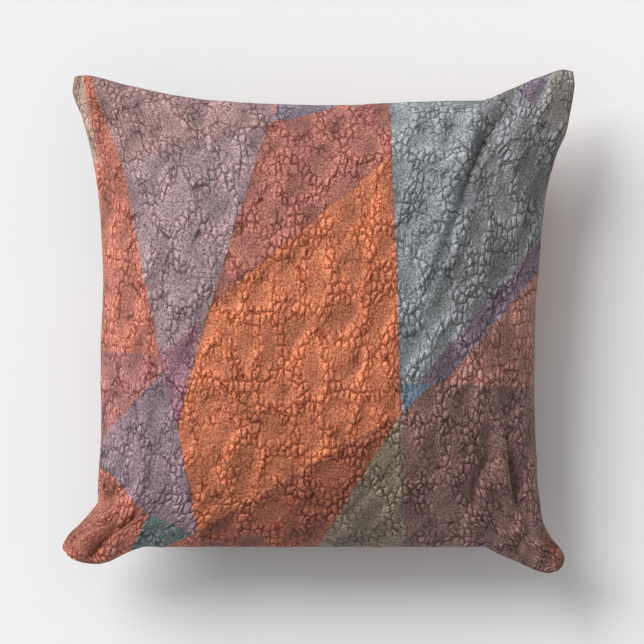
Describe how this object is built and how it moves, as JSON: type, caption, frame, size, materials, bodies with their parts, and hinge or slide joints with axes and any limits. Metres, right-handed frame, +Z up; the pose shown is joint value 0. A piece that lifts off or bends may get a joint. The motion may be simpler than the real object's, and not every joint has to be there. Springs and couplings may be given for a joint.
{
  "type": "throw pillow",
  "caption": "Square knife-edge throw pillow: zip-off suede-look cover in large colour patches, over a fibre-filled insert with its own cloth.",
  "frame": {"origin": "centre of the patch on which the pillow rests, on the floor under the middle of its outline", "axes": "+Z up through the face, along the thickness; +Y towards the top edge of the face, away from the zip; +X towards its right edge"},
  "size_m": [0.4071, 0.4002, 0.14],
  "materials": {
    "cover_face": "matte",
    "cover_back": "matte",
    "thread": "matte",
    "zip_tape": "matte",
    "zip_coil": "satin",
    "zip_metal": "satin",
    "ticking": "matte",
    "ticking_thread": "matte",
    "label": "satin",
    "fill": "matte"
  },
  "bodies": {
    "pillow": {"cover_front_panel": "cover_face", "cover_back_panel": "cover_back", "cover_overlock_thread": "thread", "zipper_tape_front": "zip_tape", "zipper_tape_back": "zip_tape", "zipper_coil_front": "zip_coil", "zipper_coil_back": "zip_coil", "zipper_stitching_front": "thread", "zipper_stitching_back": "thread", "zipper_top_stop_front": "zip_metal", "zipper_top_stop_back": "zip_metal", "zipper_bottom_stop": "zip_metal", "insert_front_ticking": "ticking", "insert_back_ticking": "ticking", "insert_seam_thread": "ticking_thread", "insert_label": "label", "fibre_fill": "fill"},
    "slider": {"zipper_slider": "zip_metal"},
    "pull_tab": {"zipper_pull_tab": "zip_metal"}
  },
  "joints": [
    {"name": "zip_slide", "type": "slide", "parent": "pillow", "child": "slider", "axis": [-1, 0, 0], "range_m": [0, 0.23]},
    {"name": "tab_swing", "type": "hinge", "parent": "slider", "child": "pull_tab", "pos_m": [0.115, -0.1754, 0.06717], "axis": [0, -0.5736, 0.8192], "range_deg": [0, 150]}
  ]
}
